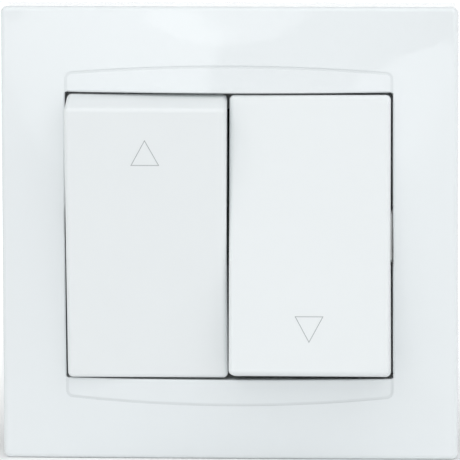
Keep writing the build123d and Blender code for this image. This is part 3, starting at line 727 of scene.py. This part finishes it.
def settled(mesh):
    """The mesh with doubles merged, faces outwards and flat steps kept sharp."""
    form = bmesh.new()
    form.from_mesh(mesh)
    bmesh.ops.remove_doubles(form, verts=form.verts, dist=WELD_DISTANCE)
    bmesh.ops.recalc_face_normals(form, faces=form.faces)
    form.to_mesh(mesh)
    form.free()
    mesh.shade_smooth()
    mesh.set_sharp_from_angle(angle=SHARP_ANGLE)
    return mesh


def softened(node, width):
    """A copy of a CAD node's mesh with its outer edges broken, as a mould or a press leaves them."""
    form = bmesh.new()
    form.from_mesh(frame["nodes"][node].data)
    bmesh.ops.remove_doubles(form, verts=form.verts, dist=WELD_DISTANCE)
    bmesh.ops.dissolve_limit(form, angle_limit=FLAT_ANGLE, verts=form.verts, edges=form.edges)
    outer = [edge for edge in form.edges if edge.is_convex and edge.calc_face_angle() > EDGE_ANGLE]
    broken = bmesh.ops.bevel(
        form, geom=outer, offset=width, segments=BREAK_STEPS, profile=0.5, affect="EDGES")
    rounds = set(broken["faces"])
    for face in form.faces:
        face.smooth = True
    for edge in form.edges:
        first, second = edge.link_faces
        alike = (first in rounds) == (second in rounds)
        edge.smooth = alike and edge.calc_face_angle() < EDGE_ANGLE
    mesh = bpy.data.meshes.new(node + "_softened")
    form.to_mesh(mesh)
    form.free()
    return mesh


def grown(name, rule, seats, sizes, slot):
    """The plain mesh that a rule grows on its seats."""
    grower = bpy.data.objects.new(name, seat_mesh(name, seats))
    bpy.context.scene.collection.objects.link(grower)
    modifier = grower.modifiers.new(name, "NODES")
    modifier.node_group = rule.tree
    for size, value in sizes.items():
        modifier[rule.identifiers[size]] = value
    modifier[rule.identifiers["Finish"]] = finish_of(slot)
    evaluated = grower.evaluated_get(bpy.context.evaluated_depsgraph_get())
    mesh = bpy.data.meshes.new_from_object(evaluated)
    grower.modifiers.clear()
    bpy.data.objects.remove(grower)
    return settled(mesh)


def corner_seats(node, inset, front, turns, corners):
    """Seats that face the front in the corners of a node's box, this far inside it and behind its front."""
    low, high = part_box(node)
    seats = []
    for (right, up), turn in zip(corners, turns):
        x = high[0] - inset if right > 0 else low[0] + inset
        z = high[2] - inset if up > 0 else low[2] + inset
        seats.append(((x, low[1] + front, z), FRONT, radians(turn)))
    return seats


def joint(name):
    """The joint of this name."""
    return next(entry for entry in frame["joints"] if entry["name"] == name)


def key_plane(side):
    """The plane through a key's hinge, with X to the right, Y up the key and Z out of its face."""
    tilt = -SIDES[side] * REST_TILT
    right = Vector((1.0, 0.0, 0.0))
    up = Vector((0.0, -sin(tilt), cos(tilt)))
    out = Vector((0.0, -cos(tilt), -sin(tilt)))
    turn = Matrix((right, up, out)).transposed().to_4x4()
    return Matrix.Translation(joint(f"rocker_{side}_hinge")["pos_m"]) @ turn


def headed_screw_rule(shared):
    """The rule for a slotted cheese-head screw that sits on the plane under its head."""
    rule = Rule("headed_screw", {**shared, "Shank radius": 0.0, "Shank length": 0.0})
    radius, height = rule.size("Head radius"), rule.size("Head height")
    edge = height * HEAD_BREAK
    profile = [(0.0, height), (radius - edge, height), (radius, height - edge), (radius, 0.0), (0.0, 0.0)]
    slot = rule.size("Slot width"), rule.size("Slot depth")
    head = rule.slotted(rule.turned(profile), height, radius * SLOT_REACH, *slot)
    thread = rule.size("Thread pitch"), rule.size("Thread depth")
    shank = rule.threaded(rule.size("Shank radius"), rule.size("Shank length"), *thread)
    rule.plant(rule.joined(head, shank))
    return rule


def grub_screw_rule(shared):
    """The rule for a headless slotted screw whose outer end is at its seat."""
    rule = Rule("grub_screw", {**shared, "Shank radius": 0.0, "Shank length": 0.0})
    radius = rule.size("Shank radius")
    thread = rule.size("Thread pitch"), rule.size("Thread depth")
    shank = rule.threaded(radius, rule.size("Shank length"), *thread)
    slot = rule.size("Slot width"), rule.size("Slot depth")
    rule.plant(rule.slotted(shank, 0.0, radius * SLOT_REACH, *slot))
    return rule


def rivet_rule(sizes):
    """The rule for a domed rivet that sits on the plane under its head."""
    rule = Rule("domed_rivet", sizes)
    radius, height = rule.size("Head radius"), rule.size("Head height")
    shank, foot = rule.size("Shank radius"), 0.0 - rule.size("Shank length")
    angles = [i * pi / 2 / DOME_STEPS for i in range(1, DOME_STEPS)]
    dome = [(radius * sin(angle), height * cos(angle)) for angle in angles]
    stem = [(radius, 0.0), (shank, 0.0), (shank, foot), (0.0, foot)]
    rule.plant(rule.turned([(0.0, height), *dome, *stem]))
    return rule


def mark_mesh(marks, side):
    """A triangle in outline, as a thin film on a key, which points up on the left and down on the right."""
    upward = -SIDES[side]
    half = marks.width / 2
    outer = [Vector((-half, 0.0)), Vector((half, 0.0)), Vector((0.0, marks.height))]
    perimeter = sum((outer[i] - outer[i - 1]).length for i in range(3))
    centre = Vector((0.0, marks.width * marks.height / perimeter))
    shrink = 1.0 - marks.line_width / centre.y
    inner = [centre + (corner - centre) * shrink for corner in outer]
    form = bmesh.new()
    low_outer, low_inner, high_outer, high_inner = (
        [form.verts.new((p.x, upward * (marks.base_place + p.y), KEY_FACE_OFFSET + height)) for p in ring]
        for height in (0.0, marks.film) for ring in (outer, inner))
    for here, there in ((low_outer, high_outer), (high_outer, high_inner),
                        (high_inner, low_inner), (low_inner, low_outer)):
        for i in range(3):
            form.faces.new((here[i - 1], here[i], there[i], there[i - 1]))
    bmesh.ops.recalc_face_normals(form, faces=form.faces)
    form.transform(key_plane(side))
    mesh = bpy.data.meshes.new("mark")
    form.to_mesh(mesh)
    form.free()
    return mesh


def soft_nodes(edges):
    """The body and the edge width of every CAD node whose edges are broken."""
    nodes = {
        "housing_base": ("switch_body", edges.moulded),
        "switch_cover": ("switch_body", edges.moulded),
        "rocker_carrier": ("switch_body", edges.moulded),
        "support_plate": ("switch_body", edges.pressed),
    }
    for strap in ("common", "link", "up", "down"):
        nodes["contact_" + strap] = ("switch_body", edges.pressed)
    for terminal in ("common", "up", "down"):
        nodes["terminal_" + terminal] = ("switch_body", edges.sawn)
    for side in SIDES:
        nodes["claw_" + side] = (f"claw_{side}_body", edges.pressed)
        nodes["seesaw_" + side] = (f"seesaw_{side}_body", edges.pressed)
        nodes["yoke_" + side] = (f"rocker_{side}_body", edges.moulded)
    return nodes


# Paper, lamps and camera

def paper_finish():
    """White paper whose glow grows from front to back, so that it fades into white behind the switch."""
    paper = Finish("paper", roughness=PAPER_ROUGHNESS, emission_strength=PAPER_GLOW)
    paper.feed("Base Color", PAPER_COLOUR)
    behind = paper.limited((paper.place_along("Y") - GLOW_START) / (GLOW_FULL - GLOW_START))
    paper.feed("Emission Color", paper.blended(BLACK, WHITE, behind))
    return paper.material


def paper_sheet(name, corners, paper):
    """A four-cornered sheet of the paper."""
    sheet = bpy.data.meshes.new(name)
    sheet.from_pydata(corners, [], [(0, 1, 2, 3)])
    sheet.materials.append(paper)
    return bpy.data.objects.new(name, sheet)


def direction(azimuth, elevation):
    """A unit vector towards the front, to the right by the azimuth and up by the elevation."""
    return Vector((sin(azimuth) * cos(elevation), -cos(azimuth) * cos(elevation), sin(elevation)))


def standing(out, distance, roll):
    """The place of a lamp or camera that looks back along this direction, rolled about it."""
    turn = out.to_track_quat("Z", "Y").to_matrix().to_4x4()
    return Matrix.Translation(out * distance) @ turn @ Matrix.Rotation(roll, 4, "Z")


def soft_box(name, azimuth, elevation, width, height, lean, brightness):
    """A rectangular soft box that looks at the switch, equally bright whatever its size."""
    light = bpy.data.lights.new(name, "AREA")
    light.shape = "RECTANGLE"
    light.color = LAMP_COLOUR
    light.size = width
    light.size_y = height
    light.energy = brightness * pi * width * height
    box = bpy.data.objects.new(name, light)
    out = direction(radians(azimuth), radians(elevation))
    box.matrix_world = standing(out, BOX_DISTANCE, radians(lean))
    return box


def photo_camera(stage):
    """The camera, with the photograph's angle, lens and framing."""
    lens = bpy.data.cameras.new("camera")
    lens.sensor_width = SENSOR_WIDTH
    lens.lens = lens.sensor_width * FOCAL_PIXELS / PHOTO_SIDE
    lens.shift_x = (PHOTO_SIDE / 2 - AXIS_PIXEL[0]) / PHOTO_SIDE
    lens.shift_y = (AXIS_PIXEL[1] - PHOTO_SIDE / 2) / PHOTO_SIDE
    lens.clip_start = CLIP_START
    camera = bpy.data.objects.new("camera", lens)
    back = direction(stage.azimuth, stage.elevation)
    camera.matrix_world = standing(back, stage.distance, CAMERA_ROLL)
    return camera


# Steps

class SHUTTER_OT_finishes(bpy.types.Operator):
    """Gives every carried-over piece its procedural finish"""

    bl_idname = "shutter.finishes"
    bl_label = "Finishes"

    def execute(self, context):
        finishes = make_finishes(context.scene.shutter_finish)
        for slot, material in finishes.items():
            material.name = slot + "_finish"
        for node in frame["nodes"].values():
            for index, material in enumerate(node.data.materials):
                node.data.materials[index] = finish_of(material.name.split(".")[0])
        return {"FINISHED"}


class SHUTTER_OT_direction_marks(bpy.types.Operator):
    """Prints the up and down marks on the keys, each on its proud end"""

    bl_idname = "shutter.direction_marks"
    bl_label = "Direction marks"

    def execute(self, context):
        marks = context.scene.shutter_mark
        ink = Finish("mark_ink", roughness=INK_ROUGHNESS)
        colour = context.scene.shutter_finish.mark_colour
        tones = colour_of(colour), colour_of(colour, INK_SHADE)
        ink.feed("Base Color", ink.blended(*tones, ink.noise(INK_GRAIN)))
        for side in SIDES:
            mesh = mark_mesh(marks, side)
            mesh.materials.append(ink.material)
            show_piece(f"mark_{side}", mesh, f"rocker_{side}_body", "key_plastic")
        return {"FINISHED"}


class SHUTTER_OT_screws(bpy.types.Operator):
    """Grows the cover, claw and terminal screws with their slots and threads"""

    bl_idname = "shutter.screws"
    bl_label = "Screws"

    def execute(self, context):
        sizes = context.scene.shutter_fastener
        shared = {"Slot width": sizes.slot_width, "Slot depth": sizes.slot_depth,
                  "Thread pitch": sizes.thread_pitch, "Thread depth": sizes.thread_depth}
        head = {"Head radius": sizes.head_radius, "Head height": sizes.head_height}
        headed = headed_screw_rule({**shared, **head})
        for node, radius, turns, corners in (
                ("cover_screws", sizes.cover_screw_radius, COVER_SCREW_TURNS, ALL_CORNERS),
                ("claw_screws", sizes.claw_screw_radius, CLAW_SCREW_TURNS, OPPOSITE_CORNERS)):
            low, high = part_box(node)
            length = high[1] - low[1] - sizes.head_height
            seats = corner_seats(node, sizes.head_radius, sizes.head_height, turns, corners)
            own = {"Shank radius": radius, "Shank length": length}
            mesh = grown(node + "_dressed", headed, seats, {**shared, **head, **own}, "screw_steel")
            show_piece(node + "_dressed", mesh, "switch_body", "screw_steel", node)
        grub = grub_screw_rule(shared)
        low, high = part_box("terminal_screws")
        reach = high[0] - sizes.terminal_screw_radius
        middle = (low[1] + high[1]) / 2
        places = ((-reach, low[2], DOWN), (0.0, low[2], DOWN), (reach, high[2], UP))
        seats = [((x, middle, z), facing, radians(turn))
                 for (x, z, facing), turn in zip(places, TERMINAL_SCREW_TURNS)]
        own = {"Shank radius": sizes.terminal_screw_radius,
               "Shank length": sizes.terminal_screw_length}
        mesh = grown("terminal_screws_dressed", grub, seats, {**shared, **own}, "screw_steel")
        show_piece("terminal_screws_dressed", mesh, "switch_body", "screw_steel", "terminal_screws")
        return {"FINISHED"}


class SHUTTER_OT_rivets(bpy.types.Operator):
    """Grows the domed rivets that hold the carrier ring"""

    bl_idname = "shutter.rivets"
    bl_label = "Rivets"

    def execute(self, context):
        sizes = context.scene.shutter_fastener
        low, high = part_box("carrier_rivets")
        radius, height = sizes.rivet_head_radius, sizes.rivet_head_height
        own = {"Head radius": radius, "Head height": height,
               "Shank radius": sizes.rivet_radius, "Shank length": high[1] - low[1] - height}
        seats = corner_seats("carrier_rivets", radius, height, RIVET_TURNS, ALL_CORNERS)
        mesh = grown("carrier_rivets_dressed", rivet_rule(own), seats, own, "screw_steel")
        show_piece("carrier_rivets_dressed", mesh, "switch_body", "screw_steel", "carrier_rivets")
        return {"FINISHED"}


class SHUTTER_OT_springs(bpy.types.Operator):
    """Winds the two plunger springs"""

    bl_idname = "shutter.springs"
    bl_label = "Springs"

    def execute(self, context):
        sizes = context.scene.shutter_spring
        own = {"Coil radius": sizes.coil_radius, "Wire radius": sizes.wire_radius,
               "Coil height": sizes.height, "Turns": sizes.turns}
        rule = Rule("coil_spring", own)
        rule.plant(rule.coiled(*[rule.size(size) for size in own]))
        for side in SIDES:
            plane = key_plane(side)
            out = plane.to_3x3().col[2].normalized()
            seats = [(plane @ Vector((0.0, 0.0, sizes.foot)), out, 0.0)]
            name = f"spring_{side}"
            mesh = grown(name + "_dressed", rule, seats, own, "spring_steel")
            piece = show_piece(name + "_dressed", mesh, f"rocker_{side}_body", "spring_steel", name)
            slide = joint(f"plunger_{side}_slide")
            travel = slide["range_m"][1] - slide["range_m"][0]
            length = sizes.height + 2 * sizes.wire_radius
            1.0 - travel / length
            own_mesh(piece)
        return {"FINISHED"}


class SHUTTER_OT_soft_edges(bpy.types.Operator):
    """Breaks the edges of the mouldings, the pressed parts and the terminals behind the keys"""

    bl_idname = "shutter.soft_edges"
    bl_label = "Soft edges"

    def execute(self, context):
        edges = context.scene.shutter_edge
        for node, (body, width) in soft_nodes(edges).items():
            finish = frame["nodes"][node].data.materials[0]
            mesh = softened(node, width)
            mesh.materials.append(finish)
            show_piece(node + "_dressed", mesh, body, finish.name.removesuffix("_finish"), node)
        return {"FINISHED"}


class SHUTTER_OT_stage(bpy.types.Operator):
    """Sets the pale floor, the soft boxes and the camera"""

    bl_idname = "shutter.stage"
    bl_label = "Stage"

    def execute(self, context):
        scene = context.scene
        stage = scene.shutter_stage
        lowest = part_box("cover_frame")[0][2]
        floor = [(-STAGE, -STAGE, lowest), (STAGE, -STAGE, lowest),
                 (STAGE, BACKDROP, lowest), (-STAGE, BACKDROP, lowest)]
        backdrop = [(-STAGE, BACKDROP, lowest), (STAGE, BACKDROP, lowest),
                    (STAGE, BACKDROP, STAGE), (-STAGE, BACKDROP, STAGE)]
        paper = paper_finish()
        staged = [paper_sheet("floor", floor, paper), paper_sheet("backdrop", backdrop, paper)]
        for name, *setting, strength in SOFT_BOXES:
            staged.append(soft_box(name, *setting, stage.light * strength))
        scene.camera = photo_camera(stage)
        for piece in (*staged, scene.camera):
            scene.collection.objects.link(piece)
        scene.world = bpy.data.worlds.new("studio")
        scene.world.use_nodes = True
        background = scene.world.node_tree.nodes["Background"]
        background.inputs["Color"].default_value = AIR_COLOUR
        background.inputs["Strength"].default_value = AIR_STRENGTH
        scene.view_settings.view_transform = "Standard"
        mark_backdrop(*staged)
        return {"FINISHED"}


# Add-on

class SHUTTER_PT_panel(bpy.types.Panel):
    """Lists the steps and their settings"""

    bl_idname = "SHUTTER_PT_panel"
    bl_label = "Shutter Switch"
    bl_space_type = "VIEW_3D"
    bl_region_type = "UI"
    bl_category = "Shutter Switch"

    def draw(self, context):
        for operator in OPERATORS:
            self.layout.operator(operator.bl_idname)
        for name, settings in SETTINGS.items():
            box = self.layout.box()
            for setting in settings.__annotations__:
                box.prop(getattr(context.scene, name), setting)


SETTINGS = {
    "shutter_finish": FinishSettings,
    "shutter_mark": MarkSettings,
    "shutter_fastener": FastenerSettings,
    "shutter_spring": SpringSettings,
    "shutter_edge": EdgeSettings,
    "shutter_stage": StageSettings,
}
OPERATORS = (
    SHUTTER_OT_finishes,
    SHUTTER_OT_direction_marks,
    SHUTTER_OT_screws,
    SHUTTER_OT_rivets,
    SHUTTER_OT_springs,
    SHUTTER_OT_soft_edges,
    SHUTTER_OT_stage,
)


def register():
    for name, settings in SETTINGS.items():
        bpy.utils.register_class(settings)
        setattr(bpy.types.Scene, name, bpy.props.PointerProperty(type=settings))
    for operator in OPERATORS:
        bpy.utils.register_class(operator)
    bpy.utils.register_class(SHUTTER_PT_panel)


def unregister():
    bpy.utils.unregister_class(SHUTTER_PT_panel)
    for operator in reversed(OPERATORS):
        bpy.utils.unregister_class(operator)
    for name, settings in reversed(list(SETTINGS.items())):
        delattr(bpy.types.Scene, name)
        bpy.utils.unregister_class(settings)


def corners():
    """The shown object's lowest and highest corner as plain lists."""
    return [list(corner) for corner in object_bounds()]


def main():
    """Registers the add-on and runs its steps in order."""
    register()
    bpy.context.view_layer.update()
    bpy.ops.shutter.finishes()
    bpy.ops.shutter.direction_marks()
    bpy.ops.shutter.screws()
    bpy.ops.shutter.rivets()
    bpy.ops.shutter.springs()
    bpy.ops.shutter.soft_edges()
    bpy.ops.shutter.stage()


if __name__ == "__main__":
    main()
